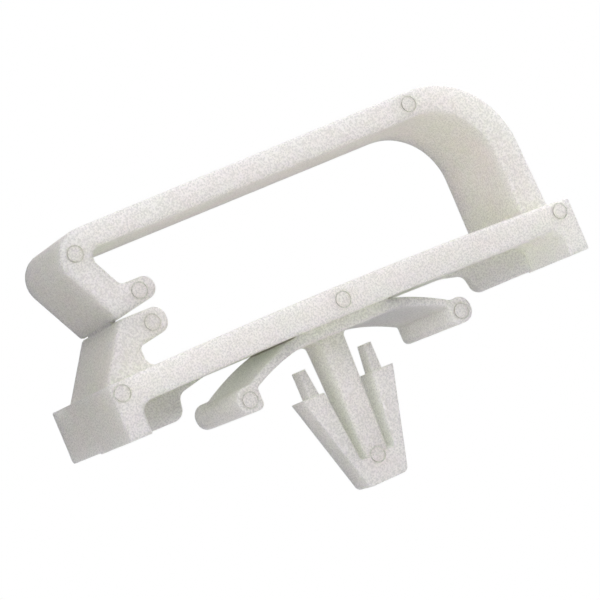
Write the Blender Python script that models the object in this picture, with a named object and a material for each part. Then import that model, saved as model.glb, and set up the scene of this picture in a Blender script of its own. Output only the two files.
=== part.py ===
"""Snap-in cable clip, moulded in one piece.

A loop for flat cable stands on a base bar with two feet, and it opens at a pair of hooks.
Below the base a post carries an arrowhead, which locks behind a panel, and two spring wings.
Lengths are in metres. X runs along the base, Y through its depth, and +Z is up. The origin is
on the post's axis at the level of the feet, where the post enters the panel. The base, ribs,
loop and column are drawn from the bar's middle, which stands BAR_OFFSET from that axis.
"""

import math

import bmesh
import bpy
from mathutils import Matrix, Vector

MM = 0.001

# Base bar and its feet
BASE_LENGTH = 40.0 * MM
BASE_DEPTH = 14.0 * MM
BAR_OFFSET = 0.35 * MM
FOOT_HEIGHT = 4.2 * MM
FOOT_THICKNESS = 1.75 * MM
FOOT_FILLET = 0.9 * MM
BAR_THICKNESS = 1.98 * MM
BAR_TOP_CROWN = 0.4 * MM
BAR_UNDER_CROWN = 0.2 * MM
EDGE_ROUND = 0.3 * MM

# Rib that stiffens each foot at mid depth
RIB_THICKNESS = 1.0 * MM
RIB_LENGTH = 5.35 * MM
RIB_LIFT = 0.1 * MM
RIB_SWEEP_LENGTH = 2.5 * MM
RIB_SWEEP_DROP = 0.55 * MM
RIB_SWEEP_ROUND = 0.8 * MM
RIB_TIP_ROUND = 0.9 * MM
RIB_EDGE_ROUND = 0.15 * MM

# Loop that holds the cable
LOOP_DEPTH = 9.2 * MM
WALL_SET_IN = 0.5 * MM
WALL_THICKNESS = 2.4 * MM
WALL_LEAN = math.radians(2.5)
WALL_FILLET = 0.4 * MM
INNER_WALL_FILLET = 0.5 * MM
ARM_HEIGHT = 14.42 * MM
ARM_THICKNESS = 2.05 * MM
ARM_RISE = math.radians(1.3)
ARM_TAPER = math.radians(0.5)
CORNER_ROUND = 6.75 * MM
CORNER_INNER_ROUND = 5.0 * MM
LEG_THICKNESS = 2.08 * MM
LEG_LEAN = math.radians(27.7)
LEG_ROUND = 2.05 * MM
LEG_INNER_ROUND = 1.1 * MM

# Pair of hooks that meet at the jaw
JAW_SET_IN = 3.53 * MM
JAW_HEIGHT = 8.27 * MM
JAW_GAP = 0.05 * MM
JAW_OPENING = math.radians(11.4)
JAW_CORNER_ROUND = 0.36 * MM
HOOK_ROUND = 0.85 * MM
UPPER_HOOK_LENGTH = 3.58 * MM
UPPER_HOOK_THICKNESS = 2.26 * MM
UPPER_HOOK_FILLET = 0.55 * MM
LOWER_HOOK_LENGTH = 3.45 * MM
LOWER_HOOK_THICKNESS = 1.84 * MM
POCKET_DEPTH = 2.73 * MM
POCKET_SLOPE = math.radians(10.0)
POCKET_TOP_ROUND = 0.4 * MM
POCKET_ROUND = 0.85 * MM
COLUMN_SET_IN = 0.73 * MM

# Spring wings and the pads at their ends
WING_DEPTH = 9.2 * MM
WING_SPAN = 20.5 * MM
WING_ROOT_WIDTH = 8.2 * MM
WING_ROOT_THICKNESS = 0.92 * MM
WING_THICKNESS = 0.62 * MM
WING_BOW = 0.18 * MM
WING_EDGE_ROUND = 0.2 * MM
NECK_ROUND = 0.6 * MM
PAD_WIDTH = 1.9 * MM
PAD_HEIGHT = 1.98 * MM
PAD_DROP = 1.48 * MM
PAD_SHOULDER = 0.45 * MM
PAD_ROUND = 0.9 * MM
PAD_INNER_ROUND = 0.5 * MM

# Post
POST_WIDTH = 2.02 * MM
POST_DEPTH = 3.7 * MM
POST_TIP_DEPTH = 2.2 * MM
POST_EDGE_ROUND = 0.4 * MM
POST_FILLET = 0.5 * MM
FLARE_SINK = 0.02 * MM

# Arrowhead with its two barbs and the tongues that stand on them
ARROW_DEPTH = 2.5 * MM
ARROW_DROP = 10.05 * MM
ARROW_TIP_WIDTH = 3.4 * MM
ARROW_TIP_ROUND = 0.5 * MM
SHOULDER_DROP = 2.2 * MM
SHOULDER_SPAN = 8.06 * MM
BARB_THICKNESS = 1.88 * MM
SLOT_END_DROP = 7.93 * MM
SLOT_WIDTH = 0.48 * MM
SLOT_ROUND = 0.2 * MM
ARROW_EDGE_ROUND = 0.15 * MM
TONGUE_DEPTH = 1.5 * MM
TONGUE_TOP_DROP = 0.05 * MM
TONGUE_SPAN = 6.5 * MM
TONGUE_THICKNESS = 0.88 * MM
TONGUE_TOP_THICKNESS = 0.6 * MM

# How far each member reaches into the one that carries it, and the flat past a fillet's end
OVERLAP = 0.8 * MM
FILLET_TOE = 0.05 * MM

ARC_STEP = math.radians(12.0)
BOW_SEGMENTS = 7
EDGE_SEGMENTS = 2
WELD_DISTANCE = 0.0005 * MM
SMOOTH_ANGLE = math.radians(32.0)

NYLON_COLOUR = (0.78, 0.76, 0.71, 1.0)
NYLON_ROUGHNESS = 0.5


def bow(start, end, rise):
    """Sharp corners along a shallow parabola from start to end, ends left out."""
    start, end = Vector(start), Vector(end)
    corners = []
    for step in range(1, BOW_SEGMENTS):
        share = step / BOW_SEGMENTS
        x, z = start.lerp(end, share)
        corners.append((x, z + rise * 4.0 * share * (1.0 - share), 0.0))
    return corners


def rounded(corners):
    """Outline through corners (x, z, radius), with an arc at each corner that has a radius.

    Arcs that would meet on the side between them are made smaller alike.
    """
    points = [Vector(corner[:2]) for corner in corners]
    after = points[1:] + points[:1]
    before = points[-1:] + points[:-1]
    half_angles = []
    reaches = []
    for index, point in enumerate(points):
        half_angle = (before[index] - point).angle(after[index] - point) / 2.0
        half_angles.append(half_angle)
        reaches.append(corners[index][2] / math.tan(half_angle))

    fits = []
    for index, point in enumerate(points):
        side = (after[index] - point).length - FILLET_TOE
        wanted = reaches[index] + reaches[(index + 1) % len(points)]
        fits.append(min(1.0, side / wanted) if wanted > 0.0 else 1.0)

    outline = []
    for index, corner in enumerate(points):
        if reaches[index] == 0.0:
            outline.append(corner)
            continue
        reach = reaches[index] * min(fits[index - 1], fits[index])
        back = (before[index] - corner).normalized()
        ahead = (after[index] - corner).normalized()
        centre = corner + (back + ahead).normalized() * reach / math.cos(half_angles[index])
        first = corner + back * reach - centre
        sweep = first.angle_signed(corner + ahead * reach - centre)
        steps = math.ceil(abs(sweep) / ARC_STEP)
        for step in range(steps + 1):
            turn = Matrix.Rotation(-sweep * step / steps, 2)
            outline.append(centre + turn @ first)
    return outline


def mirrored(corners):
    """The same corners on the other side of X = 0, in the order that keeps the direction."""
    return [(-x, z, radius) for x, z, radius in reversed(corners)]


def crossing(point, direction, other_point, other_direction):
    """Where two lines of the outline's plane cross."""
    point, direction = Vector(point), Vector(direction)
    gap = Vector(other_point) - point
    share = gap.cross(Vector(other_direction)) / direction.cross(Vector(other_direction))
    return point + direction * share


def bar_top(x):
    return FOOT_HEIGHT + BAR_TOP_CROWN * (1.0 - (2.0 * x / BASE_LENGTH) ** 2)


def bar_under(x):
    half_span = BASE_LENGTH / 2.0 - FOOT_THICKNESS
    return FOOT_HEIGHT - BAR_THICKNESS + BAR_UNDER_CROWN * (1.0 - (x / half_span) ** 2)


def base_corners():
    end = BASE_LENGTH / 2.0
    inner = end - FOOT_THICKNESS
    under = FOOT_HEIGHT - BAR_THICKNESS
    return [
        (end, 0.0, 0.0),
        (end, FOOT_HEIGHT, 0.0),
        *bow((end, FOOT_HEIGHT), (-end, FOOT_HEIGHT), BAR_TOP_CROWN),
        (-end, FOOT_HEIGHT, 0.0),
        (-end, 0.0, 0.0),
        (-inner, 0.0, 0.0),
        (-inner, under, FOOT_FILLET),
        *bow((-inner, under), (inner, under), BAR_UNDER_CROWN),
        (inner, under, FOOT_FILLET),
        (inner, 0.0, 0.0),
    ]


def rib_corners():
    """The right-hand rib, from inside the foot to where it runs out under the bar."""
    foot = BASE_LENGTH / 2.0 - FOOT_THICKNESS
    tip = foot - RIB_LENGTH
    run_out = tip - RIB_SWEEP_LENGTH
    inside = FOOT_THICKNESS / 2.0
    return [
        (foot + inside, RIB_LIFT, 0.0),
        (foot + inside, bar_under(foot) + OVERLAP, 0.0),
        (run_out, bar_under(run_out) + OVERLAP, 0.0),
        (run_out, bar_under(run_out), 0.0),
        (tip, bar_under(run_out) - RIB_SWEEP_DROP, RIB_SWEEP_ROUND),
        (tip, RIB_LIFT, RIB_TIP_ROUND),
    ]


def loop_corners():
    """Wall, arm, leaning leg and upper hook, from the wall's foot to the hook and back."""
    outer = BASE_LENGTH / 2.0 - WALL_SET_IN
    inner = outer - WALL_THICKNESS
    sunk = FOOT_HEIGHT - OVERLAP
    outer_toe = min(WALL_FILLET + FILLET_TOE, WALL_SET_IN - FILLET_TOE)
    inner_toe = INNER_WALL_FILLET + FILLET_TOE
    wall_up = (-math.sin(WALL_LEAN), math.cos(WALL_LEAN))
    top_along = (math.cos(ARM_RISE + ARM_TAPER), math.sin(ARM_RISE + ARM_TAPER))
    under_along = (math.cos(ARM_RISE), math.sin(ARM_RISE))
    leg_down = Vector((math.sin(LEG_LEAN), -math.cos(LEG_LEAN)))
    across_leg = Vector((math.cos(LEG_LEAN), math.sin(LEG_LEAN)))

    jaw = Vector((JAW_SET_IN - BASE_LENGTH / 2.0, JAW_HEIGHT + JAW_GAP))
    hook_end = jaw.x + UPPER_HOOK_LENGTH
    hook_top = jaw.y + UPPER_HOOK_THICKNESS
    hook_low = jaw.y + UPPER_HOOK_LENGTH * math.tan(JAW_OPENING)
    leg_inner = jaw + across_leg * LEG_THICKNESS

    top_point = (inner, ARM_HEIGHT + ARM_THICKNESS)
    under_point = (inner, ARM_HEIGHT)
    shoulder = crossing(top_point, top_along, (outer, FOOT_HEIGHT), wall_up)
    elbow = crossing(top_point, top_along, jaw, leg_down)
    inner_elbow = crossing(under_point, under_along, leg_inner, leg_down)
    armpit = crossing(leg_inner, leg_down, (jaw.x, hook_top), (1.0, 0.0))

    return [
        (outer + outer_toe, sunk, 0.0),
        (outer + outer_toe, FOOT_HEIGHT, 0.0),
        (outer, FOOT_HEIGHT, WALL_FILLET),
        (shoulder.x, shoulder.y, CORNER_ROUND),
        (elbow.x, elbow.y, LEG_ROUND),
        (jaw.x, jaw.y, JAW_CORNER_ROUND),
        (hook_end, hook_low, HOOK_ROUND),
        (hook_end, hook_top, HOOK_ROUND),
        (armpit.x, armpit.y, UPPER_HOOK_FILLET),
        (inner_elbow.x, inner_elbow.y, LEG_INNER_ROUND),
        (inner, ARM_HEIGHT, CORNER_INNER_ROUND),
        (inner, bar_top(inner), INNER_WALL_FILLET),
        (inner - inner_toe, bar_top(inner), 0.0),
        (inner - inner_toe, sunk, 0.0),
    ]


def column_corners():
    """Lower hook on its leaning column, with the pocket under the hook."""
    foot = COLUMN_SET_IN - BASE_LENGTH / 2.0
    jaw = JAW_SET_IN - BASE_LENGTH / 2.0
    hook_end = jaw + LOWER_HOOK_LENGTH
    hook_low = JAW_HEIGHT - LOWER_HOOK_THICKNESS
    pocket = hook_end - POCKET_DEPTH
    pocket_top = hook_low - POCKET_DEPTH * math.tan(POCKET_SLOPE)
    toe = POCKET_ROUND + FILLET_TOE
    sunk = FOOT_HEIGHT - OVERLAP
    return [
        (foot, sunk, 0.0),
        (pocket + toe, sunk, 0.0),
        (pocket + toe, bar_top(pocket), 0.0),
        (pocket, bar_top(pocket), POCKET_ROUND),
        (pocket, pocket_top, POCKET_TOP_ROUND),
        (hook_end, hook_low, HOOK_ROUND),
        (hook_end, JAW_HEIGHT, HOOK_ROUND),
        (jaw, JAW_HEIGHT, JAW_CORNER_ROUND),
        (foot, FOOT_HEIGHT, 0.0),
    ]


def wing_corners():
    """Both wings with their pads, and the flat between them that carries the post."""
    root = WING_ROOT_WIDTH / 2.0
    tip = WING_SPAN / 2.0
    neck = tip - PAD_WIDTH
    top_end = neck + PAD_SHOULDER
    pad_low = -PAD_DROP
    pad_top = pad_low + PAD_HEIGHT
    root_top = bar_under(root)
    root_low = root_top - WING_ROOT_THICKNESS
    droop = (root_top - pad_top) / (top_end - root)
    neck_low = pad_top + droop * PAD_SHOULDER - WING_THICKNESS
    right = [
        (root, root_low, 0.0),
        *bow((root, root_low), (neck, neck_low), WING_BOW),
        (neck, neck_low, NECK_ROUND),
        (neck, pad_low, PAD_INNER_ROUND),
        (tip, pad_low, PAD_ROUND),
        (tip, pad_top, PAD_ROUND),
        (top_end, pad_top, 0.0),
        *bow((top_end, pad_top), (root, root_top), WING_BOW),
        (root, root_top, 0.0),
        (root, root_top + OVERLAP, 0.0),
    ]
    return right + mirrored(right)


def post_root_corners():
    """The flare where the post leaves the flat between the wings."""
    side = POST_WIDTH / 2.0 - FLARE_SINK
    flat = bar_under(WING_ROOT_WIDTH / 2.0) - WING_ROOT_THICKNESS + FLARE_SINK
    toe = POST_FILLET + FILLET_TOE
    right = [
        (side, flat - toe, 0.0),
        (side, flat, POST_FILLET),
        (side + toe, flat, 0.0),
        (side + toe, flat + OVERLAP / 2.0, 0.0),
    ]
    return right + mirrored(right)


def post_side_corners():
    """The post seen along X: deepest at the bar, and tapered into the arrowhead."""
    top = bar_under(0.0) + OVERLAP
    low = SLOT_END_DROP + OVERLAP
    right = [
        (POST_TIP_DEPTH / 2.0, -low, 0.0),
        (POST_DEPTH / 2.0, bar_under(0.0), 0.0),
        (POST_DEPTH / 2.0, top, 0.0),
    ]
    return right + mirrored(right)


def arrow_corners():
    """Arrowhead with a slot on each side of the post, which frees the two barbs."""
    shoulder = SHOULDER_SPAN / 2.0
    slot = POST_WIDTH / 2.0 + SLOT_WIDTH
    right = [
        (ARROW_TIP_WIDTH / 2.0, -ARROW_DROP, ARROW_TIP_ROUND),
        (shoulder, -SHOULDER_DROP, 0.0),
        (shoulder - BARB_THICKNESS, -SHOULDER_DROP, 0.0),
        (slot, -SLOT_END_DROP, SLOT_ROUND),
    ]
    return right + mirrored(right)


def tongue_corners():
    """The right-hand tongue, from inside its barb up to its free end."""
    outer = TONGUE_SPAN / 2.0
    top = -TONGUE_TOP_DROP
    low = -SHOULDER_DROP - OVERLAP
    return [
        (outer, low, 0.0),
        (outer, top, 0.0),
        (outer - TONGUE_TOP_THICKNESS, top, 0.0),
        (outer - TONGUE_THICKNESS, -SHOULDER_DROP, 0.0),
        (outer - TONGUE_THICKNESS, low, 0.0),
    ]


def add_collection(name):
    collection = bpy.data.collections.new(name)
    bpy.context.scene.collection.children.link(collection)
    return collection


def add_nylon():
    material = bpy.data.materials.new("natural_nylon")
    material.use_nodes = True
    shader = material.node_tree.nodes["Principled BSDF"]
    shader.inputs["Base Color"].default_value = NYLON_COLOUR
    shader.inputs["Roughness"].default_value = NYLON_ROUGHNESS
    shader.inputs["Metallic"].default_value = 0.0
    return material


def add_plate(name, corners, depth, edge_round, collection, material, middle=0.0, turn=0.0):
    """A plate with the edges of its faces rounded, centred on Y = 0, or on X = 0 when turned.

    Its outline is drawn from X = middle.
    """
    curve = bpy.data.curves.new(name, "CURVE")
    curve.dimensions = "2D"
    curve.fill_mode = "BOTH"
    curve.extrude = depth / 2.0 - edge_round
    curve.bevel_depth = edge_round
    curve.bevel_resolution = EDGE_SEGMENTS - 1
    curve.offset = -edge_round

    outline = rounded(corners)
    spline = curve.splines.new("POLY")
    spline.points.add(len(outline) - 1)
    for point, (x, z) in zip(spline.points, outline):
        point.co = (x, z, 0.0, 1.0)
    spline.use_cyclic_u = True

    drawn = bpy.data.objects.new(name, curve)
    drawn.location.x = middle
    drawn.rotation_euler = (math.radians(90.0), 0.0, turn)
    collection.objects.link(drawn)
    bpy.context.view_layer.update()
    depsgraph = bpy.context.evaluated_depsgraph_get()
    mesh = bpy.data.meshes.new_from_object(drawn.evaluated_get(depsgraph))
    placement = drawn.matrix_world.copy()
    bpy.data.objects.remove(drawn, do_unlink=True)

    shape = bmesh.new()
    shape.from_mesh(mesh)
    bmesh.ops.remove_doubles(shape, verts=shape.verts, dist=WELD_DISTANCE)
    bmesh.ops.recalc_face_normals(shape, faces=shape.faces)
    shape.to_mesh(mesh)
    shape.free()
    mesh.materials.clear()
    mesh.materials.append(material)
    mesh.shade_smooth()
    mesh.set_sharp_from_angle(angle=SMOOTH_ANGLE)

    plate = bpy.data.objects.new(name, mesh)
    plate.matrix_world = placement
    collection.objects.link(plate)
    return plate


def join(body, member):
    """Boolean union of a member with the body, with the member kept as a wire guide."""
    union = body.modifiers.new(member.name, "BOOLEAN")
    union.operation = "UNION"
    union.solver = "EXACT"
    union.object = member
    member.hide_render = True
    member.display_type = "WIRE"


def build():
    for item in list(bpy.data.objects):
        bpy.data.objects.remove(item, do_unlink=True)
    parts = add_collection("cable_clip")
    members = add_collection("cable_clip_members")
    nylon = add_nylon()

    clip = add_plate(
        "cable_clip",
        base_corners(),
        BASE_DEPTH,
        EDGE_ROUND,
        parts,
        nylon,
        middle=BAR_OFFSET,
    )

    ribs = {"rib_right": rib_corners(), "rib_left": mirrored(rib_corners())}
    for name, corners in ribs.items():
        rib = add_plate(
            name,
            corners,
            RIB_THICKNESS,
            RIB_EDGE_ROUND,
            members,
            nylon,
            middle=BAR_OFFSET,
        )
        join(clip, rib)

    frames = {"loop": loop_corners(), "column": column_corners()}
    for name, corners in frames.items():
        frame = add_plate(
            name,
            corners,
            LOOP_DEPTH,
            EDGE_ROUND,
            members,
            nylon,
            middle=BAR_OFFSET,
        )
        join(clip, frame)

    wings = add_plate("wings", wing_corners(), WING_DEPTH, WING_EDGE_ROUND, members, nylon)
    join(clip, wings)

    flare_depth = POST_DEPTH - 2.0 * POST_EDGE_ROUND
    join(clip, add_plate("post_root", post_root_corners(), flare_depth, 0.0, members, nylon))
    post = add_plate(
        "post",
        post_side_corners(),
        POST_WIDTH,
        POST_EDGE_ROUND,
        members,
        nylon,
        turn=math.radians(90.0),
    )
    join(clip, post)

    arrow = add_plate("arrow", arrow_corners(), ARROW_DEPTH, ARROW_EDGE_ROUND, members, nylon)
    join(clip, arrow)
    tongues = {"tongue_right": tongue_corners(), "tongue_left": mirrored(tongue_corners())}
    for name, corners in tongues.items():
        join(clip, add_plate(name, corners, TONGUE_DEPTH, ARROW_EDGE_ROUND, members, nylon))


build()
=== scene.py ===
import math

import bmesh
import bpy
from bpy.props import FloatProperty, FloatVectorProperty, IntProperty, PointerProperty
from mathutils import Matrix, Vector


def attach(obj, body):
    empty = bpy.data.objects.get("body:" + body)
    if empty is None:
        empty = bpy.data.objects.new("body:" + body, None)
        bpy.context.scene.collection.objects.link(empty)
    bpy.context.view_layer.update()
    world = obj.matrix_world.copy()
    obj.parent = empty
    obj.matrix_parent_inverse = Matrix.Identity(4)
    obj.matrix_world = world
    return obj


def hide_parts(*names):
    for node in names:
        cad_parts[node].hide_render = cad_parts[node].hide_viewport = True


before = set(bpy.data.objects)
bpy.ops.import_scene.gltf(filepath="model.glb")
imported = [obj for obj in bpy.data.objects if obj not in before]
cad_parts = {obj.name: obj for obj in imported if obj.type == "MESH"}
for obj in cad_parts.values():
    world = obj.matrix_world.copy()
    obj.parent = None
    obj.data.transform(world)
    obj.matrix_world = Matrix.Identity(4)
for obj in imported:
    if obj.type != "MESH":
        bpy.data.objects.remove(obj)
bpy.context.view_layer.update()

bl_info = {
    "name": "Cable Clip",
    "version": (1, 0, 0),
    "blender": (4, 5, 0),
    "location": "3D View > Sidebar > Cable Clip",
    "description": "Dresses a snap-in cable clip moulded in natural nylon, and sets its stage",
    "category": "Object",
}

CAD_NODE = "cable_clip"
MM = 0.001
QUARTER_TURN = math.radians(90.0)
WHITE = (1.0, 1.0, 1.0, 1.0)

# Smoothness of the moulding
ARC_STEP = math.radians(5.0)
BOW_SEGMENTS = 24
EDGE_SEGMENTS = 4
SOFT_SEGMENTS = 2
WELD_DISTANCE = 0.0002 * MM
SMOOTH_ANGLE = math.radians(34.0)
SOFTENED_ANGLE = math.radians(40.0)

# How far each member reaches into the one that carries it, and the flat past a fillet's end
OVERLAP = 0.8 * MM
FILLET_TOE = 0.05 * MM

# Ejector marks: how far the bar's lie below the top of its ends, and how far each mark lies,
# in millimetres along X and Z, from the point that mark_places measures it from
BAR_MARK_DROP = 0.85 * MM
MARK_SHIFTS = {
    "bar_left": (0.75, 0.0),
    "bar_middle": (-0.55, 0.18),
    "bar_right": (-1.2, 0.1),
    "upper_hook": (2.25, 1.4),
    "lower_hook": (2.22, -1.04),
    "leg": (-1.15, -1.75),
    "arm": (-8.3, -0.1),
    "left_pad": (0.0, -0.06),
    "right_pad": (0.0, -0.1),
    "arrow_tip": (-0.1, 2.05),
}

# Nylon: its refraction, how far red, green and blue glow through it, and its patterns' detail
NYLON_IOR = 1.53
GLOW_SHARES = (0.92, 1.0, 0.80)
TONE_DETAIL = 3.0
GRAIN_DETAIL = 2.0
RIPPLE_DETAIL = 1.0

# Nylon: the part of a pattern, or of a place's openness, over which a tone, the painted glow of the
# hollows, the painted shade of the crevices or the gloss changes
TONE_BAND = (0.35, 0.65)
SPECKLE_BAND = (0.4, 0.6)
GLOSS_BAND = (0.3, 0.7)
# Openness over which the painted glow of the hollows fades in: a colour that stands in for light
# seeping through the nylon
HOLLOW_GLOW_BAND = (0.30, 0.95)
# Openness over which the painted shade of the grooves and narrow gaps fades in
CREVICE_SHADE_BAND = (0.15, 0.55)
GRAIN_ROUGHNESS = (0.62, 0.46)
OPENNESS_RAYS = 8

# Stage, in metres: each lamp's place and diameter, and the point that they all face. A lamp's
# power is the stage's property of the same name
LAMPS = {
    "front": ((-0.04, -0.13, 0.08), 0.10),
    "left": ((-0.20, -0.15, -0.01), 0.08),
    "right": ((0.12, -0.20, 0.10), 0.12),
    "top": ((0.12, 0.0, 0.20), 0.15),
    "back": ((0.20, 0.15, 0.10), 0.15),
}
LAMP_AIM = (0.0, 0.0, 0.005)

# Stage: the floor's colour and roughness, the film's width in millimetres, and the camera's
# near limit in metres
FLOOR_GREY = (0.9, 0.9, 0.9, 1.0)
FLOOR_ROUGHNESS = 0.9
FILM_WIDTH = 36.0
NEAREST_SEEN = 0.01


# Sizes and colours that a user would change


def length(name, description, millimetres):
    """Size whose default is given in millimetres."""
    return FloatProperty(
        name=name, description=description, default=millimetres * MM, min=0.0,
        precision=5, subtype="DISTANCE", unit="LENGTH",
    )


def slope(name, description, degrees):
    """Angle whose default is given in degrees."""
    return FloatProperty(
        name=name, description=description, default=math.radians(degrees),
        subtype="ANGLE", unit="ROTATION",
    )


def colour(name, description, rgb):
    """Linear colour."""
    return FloatVectorProperty(
        name=name, description=description, default=rgb, size=3, min=0.0, max=1.0, subtype="COLOR"
    )


def power(name, description, watts):
    """A lamp's power."""
    return FloatProperty(
        name=name, description=description, default=watts, min=0.0, subtype="POWER", unit="POWER"
    )


def share(name, description, value):
    """Share from 0 to 1."""
    return FloatProperty(
        name=name, description=description, default=value, min=0.0, max=1.0, subtype="FACTOR"
    )


class CLIP_PG_base(bpy.types.PropertyGroup):
    length: length("Length", "Base bar from end to end", 40.0)
    depth: length("Depth", "Base bar from front to back", 14.0)
    offset: length("Offset", "The post's axis to the bar's middle", 0.35)
    foot_height: length("Foot Height", "Panel to the top of the bar's ends", 4.2)
    foot_thickness: length("Foot Thickness", "Foot along the bar", 1.75)
    foot_fillet: length("Foot Fillet", "Round between foot and bar", 0.9)
    bar_thickness: length("Bar Thickness", "Bar at its ends", 1.98)
    top_crown: length("Top Crown", "Rise of the bar's top at its middle", 0.4)
    under_crown: length("Underside Crown", "Rise of the bar's underside at its middle", 0.2)
    edge_round: length("Edge Round", "Round along the front and back edges", 0.3)


class CLIP_PG_rib(bpy.types.PropertyGroup):
    thickness: length("Thickness", "Rib from front to back", 1.0)
    length: length("Length", "Foot to the rib's free end", 5.35)
    lift: length("Lift", "Rib above the panel", 0.1)
    sweep_length: length("Sweep Length", "Run-out under the bar", 2.5)
    sweep_drop: length("Sweep Drop", "Depth of the run-out", 0.55)
    sweep_round: length("Sweep Round", "Round above the free end", 0.8)
    tip_round: length("Tip Round", "Round below the free end", 0.9)
    tip_slant: length("Tip Slant", "How much nearer to the foot the free end is at its bottom", 0.3)
    edge_round: length("Edge Round", "Round along the rib's faces", 0.15)


class CLIP_PG_loop(bpy.types.PropertyGroup):
    depth: length("Depth", "Loop from front to back", 9.2)
    wall_set_in: length("Wall Set-In", "Bar's end to the wall", 0.5)
    wall_thickness: length("Wall Thickness", "Wall at the closed end", 2.4)
    wall_lean: slope("Wall Lean", "Lean of the wall's outer face", 2.5)
    wall_fillet: length("Wall Fillet", "Round at the wall's outer foot", 0.4)
    inner_wall_fillet: length("Inner Wall Fillet", "Round at the wall's inner foot", 0.5)
    arm_height: length("Arm Height", "Panel to the arm's underside", 14.42)
    arm_thickness: length("Arm Thickness", "Arm at the closed end", 2.05)
    arm_rise: slope("Arm Rise", "Slope of the arm", 1.3)
    arm_taper: slope("Arm Taper", "Angle between the arm's faces", 0.5)
    corner_round: length("Corner Round", "Round outside the closed end", 6.75)
    corner_inner_round: length("Inner Corner Round", "Round inside the closed end", 5.0)
    leg_thickness: length("Leg Thickness", "Leg at the open end", 2.08)
    leg_lean: slope("Leg Lean", "Lean of the leg", 27.7)
    leg_round: length("Leg Round", "Round outside the leg's elbow", 2.05)
    leg_inner_round: length("Inner Leg Round", "Round inside the leg's elbow", 0.8)


class CLIP_PG_hooks(bpy.types.PropertyGroup):
    jaw_set_in: length("Jaw Set-In", "Bar's end to the jaw", 3.53)
    jaw_height: length("Jaw Height", "Panel to the jaw", 8.27)
    jaw_gap: length("Jaw Gap", "Gap between the hooks at the jaw's corner", 0.05)
    jaw_opening: slope("Jaw Opening", "Angle between the hooks", 11.4)
    corner_round: length("Corner Round", "Round at the jaw's corners", 0.36)
    end_round: length("End Round", "Round at the hooks' ends", 0.85)
    upper_length: length("Upper Length", "Upper hook from the jaw's corner", 3.58)
    upper_thickness: length("Upper Thickness", "Upper hook at the jaw's corner", 2.26)
    upper_fillet: length("Upper Fillet", "Round between leg and hook", 0.55)
    lower_length: length("Lower Length", "Lower hook from the jaw's corner", 3.45)
    lower_thickness: length("Lower Thickness", "Lower hook", 1.84)
    pocket_depth: length("Pocket Depth", "Hook's end to the back of the pocket", 2.73)
    pocket_slope: slope("Pocket Slope", "Slope of the pocket's roof", 10.0)
    pocket_top_round: length("Pocket Top Round", "Round at the pocket's roof", 0.4)
    pocket_round: length("Pocket Round", "Round at the pocket's floor", 0.85)
    column_set_in: length("Column Set-In", "Bar's end to the column's foot", 0.73)
    web_depth: length("Web Depth", "Thin web that joins the hooks, front to back", 5.5)
    web_thickness: length("Web Thickness", "Web along the bar", 0.4)
    web_reach: length("Web Reach", "Web into each hook", 0.5)


class CLIP_PG_wings(bpy.types.PropertyGroup):
    depth: length("Depth", "Wings from front to back", 9.2)
    span: length("Span", "From pad to pad", 20.5)
    root_width: length("Root Width", "Flat between the wings", 8.2)
    root_thickness: length("Root Thickness", "Wing where it leaves the bar", 0.92)
    thickness: length("Thickness", "Wing at its pad", 0.62)
    bow: length("Bow", "Bow of each wing", 0.18)
    edge_round: length("Edge Round", "Round along the wings' faces", 0.2)
    neck_round: length("Neck Round", "Round between wing and pad", 0.6)
    pad_width: length("Pad Width", "Pad along the bar", 1.9)
    pad_height: length("Pad Height", "Pad from top to bottom", 1.98)
    pad_drop: length("Pad Drop", "Pad's underside below the panel's face", 1.48)
    pad_shoulder: length("Pad Shoulder", "Pad past the wing's top", 0.45)
    pad_round: length("Pad Round", "Round outside the pad", 0.9)
    pad_inner_round: length("Inner Pad Round", "Round inside the pad", 0.5)


class CLIP_PG_arrow(bpy.types.PropertyGroup):
    post_width: length("Post Width", "Post along the bar", 2.02)
    post_depth: length("Post Depth", "Post at the bar, front to back", 3.7)
    post_tip_depth: length("Post Tip Depth", "Post at the arrowhead, front to back", 2.2)
    post_edge_round: length("Post Edge Round", "Round along the post's edges", 0.4)
    post_fillet: length("Post Fillet", "Flare at the post's root", 0.5)
    flare_sink: length("Flare Sink", "Flare's reach into the post and wings", 0.02)
    depth: length("Depth", "Arrowhead from front to back", 2.5)
    drop: length("Drop", "Panel's face to the arrowhead's tip", 10.05)
    tip_width: length("Tip Width", "Flat at the tip", 3.4)
    tip_round: length("Tip Round", "Round at the tip", 0.5)
    shoulder_drop: length("Shoulder Drop", "Panel's face to the barbs' shoulders", 2.2)
    shoulder_span: length("Shoulder Span", "Across the barbs' shoulders", 8.06)
    barb_thickness: length("Barb Thickness", "Barb at its shoulder", 1.88)
    slot_end_drop: length("Slot End Drop", "Panel's face to the slots' ends", 7.93)
    slot_width: length("Slot Width", "Slot at its end", 0.48)
    slot_round: length("Slot Round", "Round at the slots' ends", 0.2)
    edge_round: length("Edge Round", "Round along the arrowhead's faces", 0.15)
    tongue_depth: length("Tongue Depth", "Tongue from front to back", 1.5)
    tongue_top_drop: length("Tongue Top Drop", "Panel's face to the tongues' tops", 0.05)
    tongue_span: length("Tongue Span", "Across the tongues", 6.5)
    tongue_thickness: length("Tongue Thickness", "Tongue at its barb", 0.88)
    tongue_top_thickness: length("Tongue Top Thickness", "Tongue at its top", 0.6)


class CLIP_PG_marks(bpy.types.PropertyGroup):
    diameter: length("Diameter", "Round mark that an ejector pin leaves", 1.2)
    recess: length("Recess", "How far a mark lies below the face round it", 0.035)
    groove_width: length("Groove Width", "Groove round a mark, from side to side", 0.11)
    groove_depth: length("Groove Depth", "Groove below the face round it", 0.16)
    segments: IntProperty(
        name="Segments", description="Corners round each mark", default=40, min=12, max=96
    )
    soft_edge: length("Soft Edge", "Softening of the moulding's sharp edges", 0.06)
    parting_step: length("Parting Step", "How much shorter the feet are behind the parting line", 0.1)
    parting_round: length("Parting Round", "Round below the feet's back edges", 0.7)


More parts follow.
